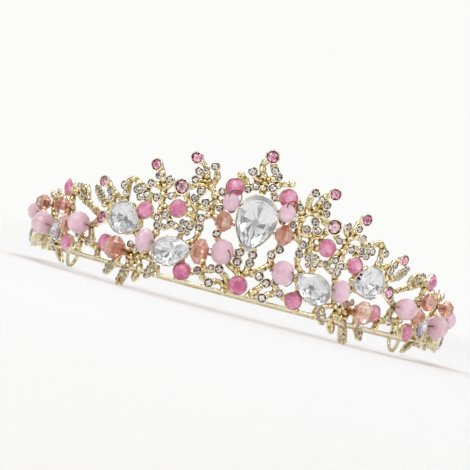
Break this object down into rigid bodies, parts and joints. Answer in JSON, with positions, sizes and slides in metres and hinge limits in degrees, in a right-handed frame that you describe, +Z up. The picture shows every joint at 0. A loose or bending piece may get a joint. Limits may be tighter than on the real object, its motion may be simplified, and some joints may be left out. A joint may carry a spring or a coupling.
{
  "type": "tiara",
  "caption": "Openwork gold-plated tiara: a band of wire with branching sprays, clear cut stones, pink and peach beads and a ribbon loop at each end.",
  "frame": {"origin": "on the surface that the tiara stands on, under the middle of its bounding box", "axes": "+Z up, -Y out of the front of the tiara, +X to the wearer's left along the longest extent"},
  "size_m": [0.1578, 0.1177, 0.0575],
  "materials": {
    "gold_plate": "pale gold plating, polished on the high spots",
    "copper_wire": "bare copper-brown binding wire",
    "clear_crystal": "faceted clear glass with a foil back",
    "rose_glass": "opaque faceted rose glass",
    "pale_pink_glass": "milky faceted glass bead",
    "peach_crystal": "clear peach faceted glass bead"
  },
  "bodies": {
    "root": {"base_wire": "gold_plate", "centre_pear": "clear_crystal", "clear_cushion_left": "clear_crystal", "clear_cushion_right": "clear_crystal", "clear_drop_left": "clear_crystal", "clear_drop_right": "clear_crystal", "clear_end_oval_left": "clear_crystal", "clear_end_oval_right": "clear_crystal", "clear_pear_left": "clear_crystal", "clear_pear_right": "clear_crystal", "clear_side_pear_left": "clear_crystal", "clear_side_pear_right": "clear_crystal", "end_loop_left": "gold_plate", "end_loop_right": "gold_plate", "pale_bead_a_left": "pale_pink_glass", "pale_bead_a_right": "pale_pink_glass", "pale_bead_b_left": "pale_pink_glass", "pale_bead_b_right": "pale_pink_glass", "pale_bead_c_left": "pale_pink_glass", "pale_bead_c_right": "pale_pink_glass", "pale_bead_d_left": "pale_pink_glass", "pale_bead_d_right": "pale_pink_glass", "pale_bead_e_left": "pale_pink_glass", "pale_bead_e_right": "pale_pink_glass", "pale_bead_low_left": "pale_pink_glass", "pale_bead_low_right": "pale_pink_glass", "pale_bead_top_left": "pale_pink_glass", "pale_bead_top_right": "pale_pink_glass", "peach_bead_a_left": "peach_crystal", "peach_bead_a_right": "peach_crystal", "peach_bead_b_left": "peach_crystal", "peach_bead_b_right": "peach_crystal", "peach_bead_c_left": "peach_crystal", "peach_bead_c_right": "peach_crystal", "peach_bead_d_left": "peach_crystal", "peach_bead_d_right": "peach_crystal", "peach_bead_low_left": "peach_crystal", "peach_bead_top_left": "peach_crystal", "peach_bead_top_right": "peach_crystal", "rose_dome_a_left": "rose_glass", "rose_dome_a_right": "rose_glass", "rose_dome_b_left": "rose_glass", "rose_dome_b_right": "rose_glass", "rose_dome_c_left": "rose_glass", "rose_dome_c_right": "rose_glass", "rose_dome_centre": "rose_glass", "rose_dome_d_left": "rose_glass", "rose_dome_d_right": "rose_glass", "rose_dome_e_left": "rose_glass", "rose_dome_e_right": "rose_glass", "rose_dome_f_left": "rose_glass", "rose_dome_f_right": "rose_glass", "rose_dome_top_left": "rose_glass", "rose_dome_top_right": "rose_glass", "spray_frame": "gold_plate", "wire_binding_left": "copper_wire", "wire_binding_right": "copper_wire"}
  },
  "joints": []
}
